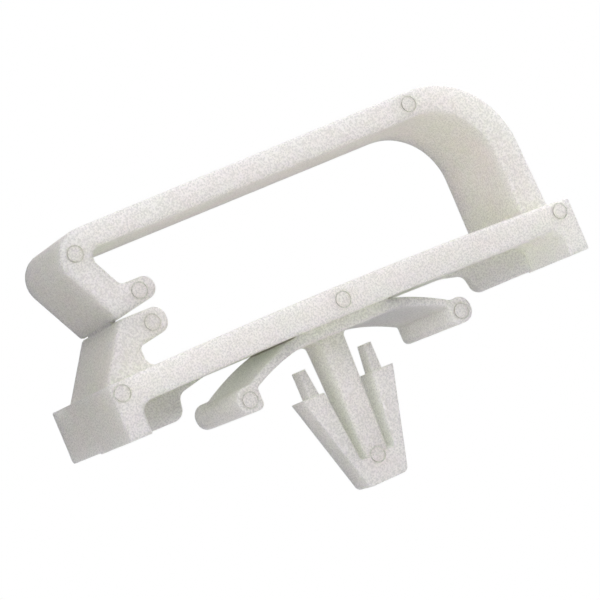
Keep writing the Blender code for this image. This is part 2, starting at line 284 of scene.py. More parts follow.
class CLIP_PG_nylon(bpy.types.PropertyGroup):
    warm: colour("Warm Tone", "Warmer of the nylon's two tones", (0.966, 0.872, 0.850))
    cool: colour("Cool Tone", "Greener of the nylon's two tones", (0.934, 0.900, 0.843))
    # Painted light: a bright yellow-green colour in hollows that stands in for light passing through
    # the nylon into them
    hollow: colour("Painted Hollow Glow", "Tone deep inside corners, where light crosses the nylon",
                   (0.976, 0.995, 0.875))
    hollow_glow_reach: length("Hollow Glow Reach", "How wide the tone of a hollow spreads", 5.0)
    # Painted shade: a dark colour in the marks' grooves and in narrow gaps, where shade falls
    crevice: colour("Painted Crevice Shade", "Tone in the grooves round the marks and in narrow gaps",
                    (0.42, 0.35, 0.35))
    crevice_shade_reach: length("Crevice Shade Reach", "How wide the tone of a crevice spreads", 0.2)
    tone_size: length("Tone Size", "Size of the cloudy tones", 3.5)
    grain_size: length("Grain Size", "Size of the surface grain", 0.13)
    grain_depth: length("Grain Depth", "Height of the surface grain", 0.02)
    grain_tone: share("Grain Tone", "How much the grain changes the colour", 0.26)
    ripple_size: length("Ripple Size", "Size of the soft unevenness of the faces", 1.4)
    ripple_depth: length("Ripple Depth", "Height of the soft unevenness", 0.010)
    glow: share("Glow", "How much light passes under the surface", 1.0)
    glow_reach: length("Glow Reach", "How far light passes under the surface", 6.5)


class CLIP_PG_stage(bpy.types.PropertyGroup):
    floor_drop: length("Floor Drop", "Panel's face to the floor", 55.0)
    floor_size: length("Floor Size", "Floor from side to side", 6000.0)
    floor_plain: length("Plain Floor", "Radius within which the floor takes shadows", 90.0)
    floor_fade: length("Floor Fade", "Radius from which the floor is plain white", 220.0)
    focal_length: FloatProperty(
        name="Focal Length", description="Camera's focal length in millimetres", default=138.0, min=1.0
    )
    camera_yaw: slope("Camera Yaw", "Turn of the camera to the clip's left", -24.806)
    camera_pitch: slope("Camera Pitch", "Tilt of the camera", -1.362)
    camera_roll: slope("Camera Roll", "Roll of the camera", -22.870)
    camera_offset: FloatVectorProperty(
        name="Camera Offset", description="The clip's origin as the camera sees it: right, up, ahead",
        default=(2.319 * MM, -4.295 * MM, 172.559 * MM), size=3, precision=5, subtype="XYZ",
        unit="LENGTH",
    )
    ambient: FloatProperty(name="Ambient", description="Light from all round", default=0.01, min=0.0)
    front: power("Front Light", "Power of the light at the front", 0.114)
    left: power("Left Light", "Power of the light at the left", 0.142)
    right: power("Right Light", "Power of the light at the right", 0.105)
    top: power("Top Light", "Power of the light above", 0.26)
    back: power("Back Light", "Power of the light behind", 0.21)


class CLIP_PG_clip(bpy.types.PropertyGroup):
    base: PointerProperty(type=CLIP_PG_base, name="Base Bar")
    rib: PointerProperty(type=CLIP_PG_rib, name="Ribs")
    loop: PointerProperty(type=CLIP_PG_loop, name="Loop")
    hooks: PointerProperty(type=CLIP_PG_hooks, name="Hooks")
    wings: PointerProperty(type=CLIP_PG_wings, name="Wings")
    arrow: PointerProperty(type=CLIP_PG_arrow, name="Post and Arrowhead")
    marks: PointerProperty(type=CLIP_PG_marks, name="Moulding Marks")
    nylon: PointerProperty(type=CLIP_PG_nylon, name="Nylon")
    stage: PointerProperty(type=CLIP_PG_stage, name="Stage")


# Outlines, as corners (x, z, radius) in the clip's front plane


def bow(start, end, rise):
    """Sharp corners along a shallow parabola from start to end, ends left out."""
    start, end = Vector(start), Vector(end)
    corners = []
    for step in range(1, BOW_SEGMENTS):
        part = step / BOW_SEGMENTS
        x, z = start.lerp(end, part)
        corners.append((x, z + rise * 4.0 * part * (1.0 - part), 0.0))
    return corners


def rounded(corners):
    """Outline through corners, with an arc at each that has a radius.

    Arcs that would meet on the side between them are made smaller alike.
    """
    points = [Vector(corner[:2]) for corner in corners]
    after = points[1:] + points[:1]
    before = points[-1:] + points[:-1]
    half_angles = []
    reaches = []
    for index, point in enumerate(points):
        half_angle = (before[index] - point).angle(after[index] - point) / 2.0
        half_angles.append(half_angle)
        reaches.append(corners[index][2] / math.tan(half_angle))

    fits = []
    for index, point in enumerate(points):
        side = (after[index] - point).length - FILLET_TOE
        wanted = reaches[index] + reaches[(index + 1) % len(points)]
        fits.append(min(1.0, side / wanted) if wanted > 0.0 else 1.0)

    outline = []
    for index, corner in enumerate(points):
        if reaches[index] == 0.0:
            outline.append(corner)
            continue
        reach = reaches[index] * min(fits[index - 1], fits[index])
        back = (before[index] - corner).normalized()
        ahead = (after[index] - corner).normalized()
        centre = corner + (back + ahead).normalized() * reach / math.cos(half_angles[index])
        first = corner + back * reach - centre
        sweep = first.angle_signed(corner + ahead * reach - centre)
        steps = math.ceil(abs(sweep) / ARC_STEP)
        for step in range(steps + 1):
            outline.append(centre + Matrix.Rotation(-sweep * step / steps, 2) @ first)
    return outline


def mirrored(corners):
    """The same corners on the other side of X = 0, in the order that keeps the direction."""
    return [(-x, z, radius) for x, z, radius in reversed(corners)]


def crossing(point, direction, other_point, other_direction):
    """Where two lines of the front plane cross."""
    point, direction = Vector(point), Vector(direction)
    gap = Vector(other_point) - point
    part = gap.cross(Vector(other_direction)) / direction.cross(Vector(other_direction))
    return point + direction * part


def bar_top(base, x):
    """Height of the bar's crowned top at x."""
    return base.foot_height + base.top_crown * (1.0 - (2.0 * x / base.length) ** 2)


def bar_under(base, x):
    """Height of the bar's crowned underside at x."""
    half_span = base.length / 2.0 - base.foot_thickness
    level = base.foot_height - base.bar_thickness
    return level + base.under_crown * (1.0 - (x / half_span) ** 2)


def base_corners(base):
    """Base bar with the foot at each end."""
    end = base.length / 2.0
    inner = end - base.foot_thickness
    under = base.foot_height - base.bar_thickness
    return [
        (end, 0.0, 0.0),
        (end, base.foot_height, 0.0),
        *bow((end, base.foot_height), (-end, base.foot_height), base.top_crown),
        (-end, base.foot_height, 0.0),
        (-end, 0.0, 0.0),
        (-inner, 0.0, 0.0),
        (-inner, under, base.foot_fillet),
        *bow((-inner, under), (inner, under), base.under_crown),
        (inner, under, base.foot_fillet),
        (inner, 0.0, 0.0),
    ]


def rib_corners(base, rib):
    """The right-hand rib, from inside the foot to where it runs out under the bar."""
    foot = base.length / 2.0 - base.foot_thickness
    tip = foot - rib.length
    run_out = tip - rib.sweep_length
    inside = base.foot_thickness / 2.0
    return [
        (foot + inside, rib.lift, 0.0),
        (foot + inside, bar_under(base, foot) + OVERLAP, 0.0),
        (run_out, bar_under(base, run_out) + OVERLAP, 0.0),
        (run_out, bar_under(base, run_out), 0.0),
        (tip, bar_under(base, run_out) - rib.sweep_drop, rib.sweep_round),
        (tip + rib.tip_slant, rib.lift, rib.tip_round),
    ]


def loop_corners(base, loop, hooks):
    """Wall, arm, leaning leg and upper hook, from the wall's foot to the hook and back."""
    outer = base.length / 2.0 - loop.wall_set_in
    inner = outer - loop.wall_thickness
    sunk = base.foot_height - OVERLAP
    outer_toe = min(loop.wall_fillet + FILLET_TOE, loop.wall_set_in - FILLET_TOE)
    inner_toe = loop.inner_wall_fillet + FILLET_TOE
    wall_up = (-math.sin(loop.wall_lean), math.cos(loop.wall_lean))
    top_slope = loop.arm_rise + loop.arm_taper
    top_along = (math.cos(top_slope), math.sin(top_slope))
    under_along = (math.cos(loop.arm_rise), math.sin(loop.arm_rise))
    leg_down = Vector((math.sin(loop.leg_lean), -math.cos(loop.leg_lean)))
    across_leg = Vector((math.cos(loop.leg_lean), math.sin(loop.leg_lean)))

    jaw = Vector((hooks.jaw_set_in - base.length / 2.0, hooks.jaw_height + hooks.jaw_gap))
    hook_end = jaw.x + hooks.upper_length
    hook_top = jaw.y + hooks.upper_thickness
    hook_low = jaw.y + hooks.upper_length * math.tan(hooks.jaw_opening)
    leg_inner = jaw + across_leg * loop.leg_thickness

    top_point = (inner, loop.arm_height + loop.arm_thickness)
    shoulder = crossing(top_point, top_along, (outer, base.foot_height), wall_up)
    elbow = crossing(top_point, top_along, jaw, leg_down)
    inner_elbow = crossing((inner, loop.arm_height), under_along, leg_inner, leg_down)
    armpit = crossing(leg_inner, leg_down, (jaw.x, hook_top), (1.0, 0.0))
    return [
        (outer + outer_toe, sunk, 0.0),
        (outer + outer_toe, base.foot_height, 0.0),
        (outer, base.foot_height, loop.wall_fillet),
        (shoulder.x, shoulder.y, loop.corner_round),
        (elbow.x, elbow.y, loop.leg_round),
        (jaw.x, jaw.y, hooks.corner_round),
        (hook_end, hook_low, hooks.end_round),
        (hook_end, hook_top, hooks.end_round),
        (armpit.x, armpit.y, hooks.upper_fillet),
        (inner_elbow.x, inner_elbow.y, loop.leg_inner_round),
        (inner, loop.arm_height, loop.corner_inner_round),
        (inner, bar_top(base, inner), loop.inner_wall_fillet),
        (inner - inner_toe, bar_top(base, inner), 0.0),
        (inner - inner_toe, sunk, 0.0),
    ]


def column_corners(base, hooks):
    """Lower hook on its leaning column, with the pocket under the hook."""
    foot = hooks.column_set_in - base.length / 2.0
    jaw = hooks.jaw_set_in - base.length / 2.0
    hook_end = jaw + hooks.lower_length
    hook_low = hooks.jaw_height - hooks.lower_thickness
    pocket = hook_end - hooks.pocket_depth
    pocket_top = hook_low - hooks.pocket_depth * math.tan(hooks.pocket_slope)
    toe = hooks.pocket_round + FILLET_TOE
    sunk = base.foot_height - OVERLAP
    return [
        (foot, sunk, 0.0),
        (pocket + toe, sunk, 0.0),
        (pocket + toe, bar_top(base, pocket), 0.0),
        (pocket, bar_top(base, pocket), hooks.pocket_round),
        (pocket, pocket_top, hooks.pocket_top_round),
        (hook_end, hook_low, hooks.end_round),
        (hook_end, hooks.jaw_height, hooks.end_round),
        (jaw, hooks.jaw_height, hooks.corner_round),
        (foot, base.foot_height, 0.0),
    ]


def web_corners(base, hooks):
    """The thin web across the jaw's outer corners, which the first opening tears."""
    jaw = hooks.jaw_set_in - base.length / 2.0 - FILLET_TOE
    low = hooks.jaw_height - hooks.web_reach
    high = hooks.jaw_height + hooks.jaw_gap + hooks.web_reach
    inner = jaw + hooks.web_thickness
    return [(jaw, low, 0.0), (inner, low, 0.0), (inner, high, 0.0), (jaw, high, 0.0)]


def wing_corners(base, wings):
    """Both wings with their pads, and the flat between them that carries the post."""
    root = wings.root_width / 2.0
    tip = wings.span / 2.0
    neck = tip - wings.pad_width
    top_end = neck + wings.pad_shoulder
    pad_low = -wings.pad_drop
    pad_top = pad_low + wings.pad_height
    root_top = bar_under(base, root)
    root_low = root_top - wings.root_thickness
    droop = (root_top - pad_top) / (top_end - root)
    neck_low = pad_top + droop * wings.pad_shoulder - wings.thickness
    right = [
        (root, root_low, 0.0),
        *bow((root, root_low), (neck, neck_low), wings.bow),
        (neck, neck_low, wings.neck_round),
        (neck, pad_low, wings.pad_inner_round),
        (tip, pad_low, wings.pad_round),
        (tip, pad_top, wings.pad_round),
        (top_end, pad_top, 0.0),
        *bow((top_end, pad_top), (root, root_top), wings.bow),
        (root, root_top, 0.0),
        (root, root_top + OVERLAP, 0.0),
    ]
    return right + mirrored(right)


def post_root_corners(base, wings, arrow):
    """The flare where the post leaves the flat between the wings."""
    side = arrow.post_width / 2.0 - arrow.flare_sink
    flat = bar_under(base, wings.root_width / 2.0) - wings.root_thickness + arrow.flare_sink
    toe = arrow.post_fillet + FILLET_TOE
    right = [
        (side, flat - toe, 0.0),
        (side, flat, arrow.post_fillet),
        (side + toe, flat, 0.0),
        (side + toe, flat + OVERLAP / 2.0, 0.0),
    ]
    return right + mirrored(right)


def post_side_corners(base, arrow):
    """The post seen along X: deepest at the bar, and tapered into the arrowhead."""
    right = [
        (arrow.post_tip_depth / 2.0, -arrow.slot_end_drop - OVERLAP, 0.0),
        (arrow.post_depth / 2.0, bar_under(base, 0.0), 0.0),
        (arrow.post_depth / 2.0, bar_under(base, 0.0) + OVERLAP, 0.0),
    ]
    return right + mirrored(right)


def arrow_corners(arrow):
    """Arrowhead with a slot on each side of the post, which frees the two barbs."""
    shoulder = arrow.shoulder_span / 2.0
    slot = arrow.post_width / 2.0 + arrow.slot_width
    right = [
        (arrow.tip_width / 2.0, -arrow.drop, arrow.tip_round),
        (shoulder, -arrow.shoulder_drop, 0.0),
        (shoulder - arrow.barb_thickness, -arrow.shoulder_drop, 0.0),
        (slot, -arrow.slot_end_drop, arrow.slot_round),
    ]
    return right + mirrored(right)


def tongue_corners(arrow):
    """The right-hand tongue, from inside its barb up to its free end."""
    outer = arrow.tongue_span / 2.0
    low = -arrow.shoulder_drop - OVERLAP
    return [
        (outer, low, 0.0),
        (outer, -arrow.tongue_top_drop, 0.0),
        (outer - arrow.tongue_top_thickness, -arrow.tongue_top_drop, 0.0),
        (outer - arrow.tongue_thickness, -arrow.shoulder_drop, 0.0),
        (outer - arrow.tongue_thickness, low, 0.0),
    ]


# The moulding


def soften(shape, width):
    """Rounds the sharp outward edges that an outline's corners leave."""
    sharp = [
        edge for edge in shape.edges
        if edge.is_manifold and edge.is_convex and edge.calc_face_angle() > SOFTENED_ANGLE
    ]
    bmesh.ops.bevel(
        shape, geom=sharp, offset=width, segments=SOFT_SEGMENTS, profile=0.5, affect="EDGES",
        clamp_overlap=True,
    )


def add_plate(name, corners, depth, edge_round, soft_edge, middle=0.0, turn=0.0):
    """A plate with the edges of its faces rounded.

    Its outline lies along X from X = middle, and its thickness is centred on Y = 0. With a
    quarter turn the outline lies along Y, and the thickness is centred on X = middle.
    """
    curve = bpy.data.curves.new(name, "CURVE")
    curve.dimensions = "2D"
    curve.fill_mode = "BOTH"
    curve.extrude = depth / 2.0 - edge_round
    curve.bevel_depth = edge_round
    curve.bevel_resolution = EDGE_SEGMENTS - 1
    curve.offset = -edge_round
    outline = rounded(corners)
    spline = curve.splines.new("POLY")
    spline.points.add(len(outline) - 1)
    for point, (x, z) in zip(spline.points, outline):
        point.co = (x, z, 0.0, 1.0)
    spline.use_cyclic_u = True

    drawn = bpy.data.objects.new(name, curve)
    bpy.context.scene.collection.objects.link(drawn)
    bpy.context.view_layer.update()
    depsgraph = bpy.context.evaluated_depsgraph_get()
    mesh = bpy.data.meshes.new_from_object(drawn.evaluated_get(depsgraph))
    bpy.data.objects.remove(drawn, do_unlink=True)
    bpy.data.curves.remove(curve)

    upright = Matrix.Rotation(turn, 4, "Z") @ Matrix.Rotation(QUARTER_TURN, 4, "X")
    upright.translation.x = middle
    shape = bmesh.new()
    shape.from_mesh(mesh)
    bmesh.ops.remove_doubles(shape, verts=shape.verts, dist=WELD_DISTANCE)
    bmesh.ops.transform(shape, matrix=upright, verts=shape.verts)
    bmesh.ops.recalc_face_normals(shape, faces=shape.faces)
    if soft_edge > 0.0:
        soften(shape, soft_edge)
    shape.to_mesh(mesh)
    shape.free()
    mesh.materials.clear()
    plate = bpy.data.objects.new(name, mesh)
    bpy.context.scene.collection.objects.link(plate)
    return plate


def join(body, member, operation="UNION"):
    """Adds a member to the body, or keeps what both share.

    The flare's thin ends cross themselves, so it alone is searched for that.
    """
    boolean = body.modifiers.new(member.name, "BOOLEAN")
    boolean.operation = operation
    boolean.solver = "EXACT"
    boolean.use_self = member.name == "post_root"
    boolean.object = member


def evaluated_mesh(thing, name):
    """What the modifiers make of an object, as a plain mesh."""
    bpy.context.view_layer.update()
    depsgraph = bpy.context.evaluated_depsgraph_get()
    mesh = bpy.data.meshes.new_from_object(thing.evaluated_get(depsgraph))
    mesh.name = name
    return mesh


def moulding_members(clip):
    """The members of the moulding that the base bar carries."""
    base, rib, loop, hooks, wings, arrow = (
        clip.base, clip.rib, clip.loop, clip.hooks, clip.wings, clip.arrow
    )
    soft = clip.marks.soft_edge
    flare_depth = arrow.post_depth - 2.0 * arrow.post_edge_round
    rib_right, tongue_right = rib_corners(base, rib), tongue_corners(arrow)
    return [
        add_plate("rib_right", rib_right, rib.thickness, rib.edge_round, 0.0, base.offset),
        add_plate("rib_left", mirrored(rib_right), rib.thickness, rib.edge_round, 0.0, base.offset),
        add_plate("loop", loop_corners(base, loop, hooks), loop.depth, base.edge_round, 0.0,
                  base.offset),
        add_plate("column", column_corners(base, hooks), loop.depth, base.edge_round, 0.0,
                  base.offset),
        add_plate("web", web_corners(base, hooks), hooks.web_depth, 0.0, 0.0, base.offset),
        add_plate("wings", wing_corners(base, wings), wings.depth, wings.edge_round, 0.0),
        add_plate("post_root", post_root_corners(base, wings, arrow), flare_depth, 0.0, 0.0),
        add_plate("post", post_side_corners(base, arrow), arrow.post_width,
                  arrow.post_edge_round, 0.0, turn=QUARTER_TURN),
        add_plate("arrow", arrow_corners(arrow), arrow.depth, arrow.edge_round, soft),
        add_plate("tongue_right", tongue_right, arrow.tongue_depth, arrow.edge_round, soft),
        add_plate("tongue_left", mirrored(tongue_right), arrow.tongue_depth, arrow.edge_round, soft),
    ]


def parting_corners(base, marks):
    """What the mould left of the feet, seen along X: a step at the middle, a round at the back."""
    outside = base.depth / 2.0 + OVERLAP
    back = base.depth / 2.0 + WELD_DISTANCE
    above = base.foot_height + base.top_crown + OVERLAP
    return [
        (-outside, -OVERLAP, 0.0),
        (0.0, -OVERLAP, 0.0),
        (0.0, marks.parting_step, 0.0),
        (back, marks.parting_step, marks.parting_round),
        (back, above, 0.0),
        (-outside, above, 0.0),
    ]


def mark_places(clip):
    """Where the ejector pins met the front faces."""
    base, loop, hooks, wings, arrow = clip.base, clip.loop, clip.hooks, clip.wings, clip.arrow
    bar_end = base.length / 2.0
    bar_front = -base.depth / 2.0
    bar_middle = base.foot_height - BAR_MARK_DROP
    jaw = base.offset - bar_end + hooks.jaw_set_in
    arm = loop.arm_height + loop.arm_thickness / 2.0
    loop_front = -loop.depth / 2.0
    pad = (wings.span - wings.pad_width) / 2.0
    pad_middle = wings.pad_height / 2.0 - wings.pad_drop
    measured_from = {
        "bar_left": (base.offset - bar_end, bar_front, bar_middle),
        "bar_middle": (0.0, bar_front, bar_middle),
        "bar_right": (base.offset + bar_end, bar_front, bar_middle),
        "upper_hook": (jaw, loop_front, hooks.jaw_height),
        "lower_hook": (jaw, loop_front, hooks.jaw_height),
        "leg": (jaw, loop_front, arm),
        "arm": (base.offset + bar_end, loop_front, arm),
        "left_pad": (-pad, -wings.depth / 2.0, pad_middle),
        "right_pad": (pad, -wings.depth / 2.0, pad_middle),
        "arrow_tip": (0.0, -arrow.depth / 2.0, -arrow.drop),
    }
    places = []
    for mark, (x, y, z) in measured_from.items():
        along, up = MARK_SHIFTS[mark]
        places.append((x + along * MM, y, z + up * MM))
    return places


def build_mark_tree():
    """Geometry Nodes tree that sinks a round mark with a groove at each place."""
    tree = bpy.data.node_groups.new("Moulding Marks", "GeometryNodeTree")
    face = tree.interface
    face.new_socket("Geometry", in_out="INPUT", socket_type="NodeSocketGeometry")
    face.new_socket("Places", in_out="INPUT", socket_type="NodeSocketObject")
    for name in ("Diameter", "Recess", "Groove Width", "Groove Depth"):
        socket = face.new_socket(name, in_out="INPUT", socket_type="NodeSocketFloat")
        socket.subtype = "DISTANCE"
    face.new_socket("Segments", in_out="INPUT", socket_type="NodeSocketInt")
    face.new_socket("Material", in_out="INPUT", socket_type="NodeSocketMaterial")
    face.new_socket("Geometry", in_out="OUTPUT", socket_type="NodeSocketGeometry")
    nodes, links = tree.nodes, tree.links
    given = nodes.new("NodeGroupInput")
    made = nodes.new("NodeGroupOutput")

    def scaled(socket, factor):
        times = nodes.new("ShaderNodeMath")
        times.operation = "MULTIPLY"
        times.inputs[1].default_value = factor
        links.new(socket, times.inputs[0])
        return times.outputs[0]

    radius = scaled(given.outputs["Diameter"], 0.5)
    disc = nodes.new("GeometryNodeMeshCylinder")
    links.new(given.outputs["Segments"], disc.inputs["Vertices"])
    links.new(radius, disc.inputs["Radius"])
    links.new(scaled(given.outputs["Recess"], 2.0), disc.inputs["Depth"])

    ring = nodes.new("GeometryNodeCurvePrimitiveCircle")
    links.new(given.outputs["Segments"], ring.inputs["Resolution"])
    links.new(radius, ring.inputs["Radius"])
    section = nodes.new("GeometryNodeCurvePrimitiveQuadrilateral")
    links.new(given.outputs["Groove Width"], section.inputs["Width"])
    links.new(scaled(given.outputs["Groove Depth"], 2.0), section.inputs["Height"])
    groove = nodes.new("GeometryNodeCurveToMesh")
    links.new(ring.outputs["Curve"], groove.inputs["Curve"])
    links.new(section.outputs["Curve"], groove.inputs["Profile Curve"])

    places = nodes.new("GeometryNodeObjectInfo")
    links.new(given.outputs["Places"], places.inputs["Object"])
    cut = nodes.new("GeometryNodeMeshBoolean")
    cut.operation = "DIFFERENCE"
    cut.solver = "EXACT"
    links.new(given.outputs["Geometry"], cut.inputs["Mesh 1"])
    for cutter in (disc.outputs["Mesh"], groove.outputs["Mesh"]):
        stand = nodes.new("GeometryNodeTransform")
        stand.inputs["Rotation"].default_value = (QUARTER_TURN, 0.0, 0.0)
        links.new(cutter, stand.inputs["Geometry"])
        spread = nodes.new("GeometryNodeInstanceOnPoints")
        links.new(places.outputs["Geometry"], spread.inputs["Points"])
        links.new(stand.outputs["Geometry"], spread.inputs["Instance"])
        real = nodes.new("GeometryNodeRealizeInstances")
        links.new(spread.outputs["Instances"], real.inputs["Geometry"])
        links.new(real.outputs["Geometry"], cut.inputs["Mesh 2"])

    realize = nodes.new("GeometryNodeRealizeInstances")
    links.new(cut.outputs["Mesh"], realize.inputs["Geometry"])
    paint = nodes.new("GeometryNodeSetMaterial")
    links.new(realize.outputs["Geometry"], paint.inputs["Geometry"])
    links.new(given.outputs["Material"], paint.inputs["Material"])
    links.new(paint.outputs["Geometry"], made.inputs["Geometry"])
    return tree


def set_inputs(modifier, **values):
    """Sets a nodes modifier's inputs, each named as on the tree with _ for a space."""
    for item in modifier.node_group.interface.items_tree:
        key = item.name.replace(" ", "_").lower()
        if item.in_out == "INPUT" and key in values:
            modifier[item.identifier] = values[key]


# The nylon


def make_nylon(nylon):
    """Natural nylon: cloudy off-white, with a painted yellow-green glow in hollows, painted shade in
    grooves and narrow gaps, and a fine matt grain.
    """
    material = bpy.data.materials.new("natural_nylon")
    material.use_nodes = True
    nodes, links = material.node_tree.nodes, material.node_tree.links
    shader = nodes["Principled BSDF"]
    shader.inputs["IOR"].default_value = NYLON_IOR
    shader.inputs["Subsurface Weight"].default_value = nylon.glow
    shader.inputs["Subsurface Radius"].default_value = GLOW_SHARES
    shader.inputs["Subsurface Scale"].default_value = nylon.glow_reach
    where = nodes.new("ShaderNodeTexCoord").outputs["Object"]

    def noise(size, detail):
        texture = nodes.new("ShaderNodeTexNoise")
        texture.inputs["Scale"].default_value = 1.0 / size
        texture.inputs["Detail"].default_value = detail
        links.new(where, texture.inputs["Vector"])
        return texture.outputs["Fac"]

    def spread(value, band, ends):
        stretch = nodes.new("ShaderNodeMapRange")
        links.new(value, stretch.inputs["Value"])
        for socket, number in zip(("From Min", "From Max", "To Min", "To Max"), (*band, *ends)):
            stretch.inputs[socket].default_value = number
        return stretch.outputs["Result"]

    def blend(kind, factor, first, second):
        mix = nodes.new("ShaderNodeMix")
        mix.data_type = "RGBA"
        mix.blend_type = kind
        for index, value in ((0, factor), (6, first), (7, second)):
            socket = mix.inputs[index]
            if isinstance(value, bpy.types.NodeSocket):
                links.new(value, socket)
            else:
                socket.default_value = value
        return mix.outputs[2]

    tones = spread(noise(nylon.tone_size, TONE_DETAIL), TONE_BAND, (0.0, 1.0))
    grain = noise(nylon.grain_size, GRAIN_DETAIL)
    ripple = noise(nylon.ripple_size, RIPPLE_DETAIL)

    def openness(reach):
        shade = nodes.new("ShaderNodeAmbientOcclusion")
        shade.samples = OPENNESS_RAYS
        shade.inputs["Distance"].default_value = reach
        return shade.outputs["AO"]

    skin = blend("MIX", tones, (*nylon.warm, 1.0), (*nylon.cool, 1.0))
    # Painted glow: the more enclosed a place is, the more it takes the bright yellow-green hollow
    # colour
    hollow = spread(openness(nylon.hollow_glow_reach), HOLLOW_GLOW_BAND, (1.0, 0.0))
    # Painted shade: the narrowest gaps and grooves take the dark crevice colour
    crevice = spread(openness(nylon.crevice_shade_reach), CREVICE_SHADE_BAND, (1.0, 0.0))
    deep = blend("MIX", hollow, skin, (*nylon.hollow, 1.0))
    dark = blend("MIX", crevice, deep, (*nylon.crevice, 1.0))
    speckle = spread(grain, SPECKLE_BAND, (1.0 - nylon.grain_tone, 1.0))
    links.new(blend("MULTIPLY", 1.0, dark, speckle), shader.inputs["Base Color"])
    links.new(spread(grain, GLOSS_BAND, GRAIN_ROUGHNESS), shader.inputs["Roughness"])

    height = None
    for value, depth in ((ripple, nylon.ripple_depth), (grain, nylon.grain_depth)):
        bump = nodes.new("ShaderNodeBump")
        bump.inputs["Strength"].default_value = 1.0
        bump.inputs["Distance"].default_value = depth
        links.new(value, bump.inputs["Height"])
        if height:
            links.new(height, bump.inputs["Normal"])
        height = bump.outputs["Normal"]
    links.new(height, shader.inputs["Normal"])
    return material


# Operators and what they call


class CLIP_OT_moulding(bpy.types.Operator):
    """Mould the clip: plates joined into one body, marked by the ejector pins"""

    bl_idname = "clip.moulding"
    bl_label = "Mould the Clip"

    def execute(self, context):
        clip = context.scene.cable_clip
        body = add_plate(
            "clip_moulding", base_corners(clip.base), clip.base.depth, clip.base.edge_round,
            clip.marks.soft_edge, clip.base.offset,
        )
        members = moulding_members(clip)
        halves = add_plate(
            "mould_halves", parting_corners(clip.base, clip.marks), clip.base.length + 2.0 * OVERLAP,
            0.0, 0.0, clip.base.offset, turn=QUARTER_TURN,
        )
        join(body, halves, "INTERSECT")
        for member in members:
            join(body, member)
        members.append(halves)
        body.data = evaluated_mesh(body, "clip_moulding")
        body.modifiers.clear()
        for member in members:
            bpy.data.objects.remove(member, do_unlink=True)

        points = bpy.data.meshes.new("mark_places")
        points.from_pydata(mark_places(clip), [], [])
        places = bpy.data.objects.new("mark_places", points)
        context.scene.collection.objects.link(places)
        nylon = make_nylon(clip.nylon)
        marks = body.modifiers.new("Moulding Marks", "NODES")
        marks.node_group = build_mark_tree()
        set_inputs(
            marks, places=places, diameter=clip.marks.diameter, recess=clip.marks.recess,
            groove_width=clip.marks.groove_width, groove_depth=clip.marks.groove_depth,
            segments=clip.marks.segments, material=nylon,
        )
        body.data = evaluated_mesh(body, "clip_moulding")
        # The Booleans leave an empty slot ahead of the nylon's
        body.data.materials.pop(index=0)
        body.modifiers.clear()
        bpy.data.objects.remove(places, do_unlink=True)

        body.data.shade_smooth()
        body.data.set_sharp_from_angle(angle=SMOOTH_ANGLE)
        even = body.modifiers.new("Even Normals", "WEIGHTED_NORMAL")
        even.keep_sharp = True
        body.data = evaluated_mesh(body, "clip_moulding")
        body.modifiers.clear()

        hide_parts(CAD_NODE)
        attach(body, "root")
        return {"FINISHED"}


def add_lamp(name, place, diameter, watts):
    """Round soft lamp that shines on the clip's middle."""
    light = bpy.data.lights.new(name, "AREA")
    light.shape = "DISK"
    light.size = diameter
    light.energy = watts
    lamp = bpy.data.objects.new(name, light)
    lamp.location = place
    ahead = Vector(LAMP_AIM) - lamp.location
    lamp.rotation_euler = ahead.to_track_quat("-Z", "Y").to_euler()
    bpy.context.scene.collection.objects.link(lamp)


def add_camera(stage):
    """Camera at the photo's angle, which looks from the object's left along its depth."""
    yaw, pitch, roll = stage.camera_yaw, stage.camera_pitch, stage.camera_roll
    right = Vector((math.cos(yaw), math.sin(yaw), 0.0))
    ahead = Vector((-math.sin(yaw), math.cos(yaw), 0.0))
    up = Vector((0.0, 0.0, 1.0))
    ahead, up = (
        math.cos(pitch) * ahead - math.sin(pitch) * up,
        math.sin(pitch) * ahead + math.cos(pitch) * up,
    )
    right, up = (
        math.cos(roll) * right + math.sin(roll) * up,
        -math.sin(roll) * right + math.cos(roll) * up,
    )
    offset = stage.camera_offset
    place = -(right * offset[0] + up * offset[1] + ahead * offset[2])
    data = bpy.data.cameras.new("clip_camera")
    data.lens = stage.focal_length
    data.sensor_width = FILM_WIDTH
    data.clip_start = NEAREST_SEEN
    camera = bpy.data.objects.new("clip_camera", data)
    camera.matrix_world = Matrix((
        (right.x, up.x, -ahead.x, place.x),
        (right.y, up.y, -ahead.y, place.y),
        (right.z, up.z, -ahead.z, place.z),
        (0.0, 0.0, 0.0, 1.0),
    ))
    bpy.context.scene.collection.objects.link(camera)
    bpy.context.scene.camera = camera


def seen_directly(nodes, links):
    """1 for camera, mirror and see-through rays, else 0."""
    path = nodes.new("ShaderNodeLightPath")
    total = path.outputs["Is Camera Ray"]
    for name in ("Is Glossy Ray", "Is Transmission Ray"):
        add = nodes.new("ShaderNodeMath")
        add.operation = "ADD"
        add.use_clamp = True
        links.new(total, add.inputs[0])
        links.new(path.outputs[name], add.inputs[1])
        total = add.outputs[0]
    return total


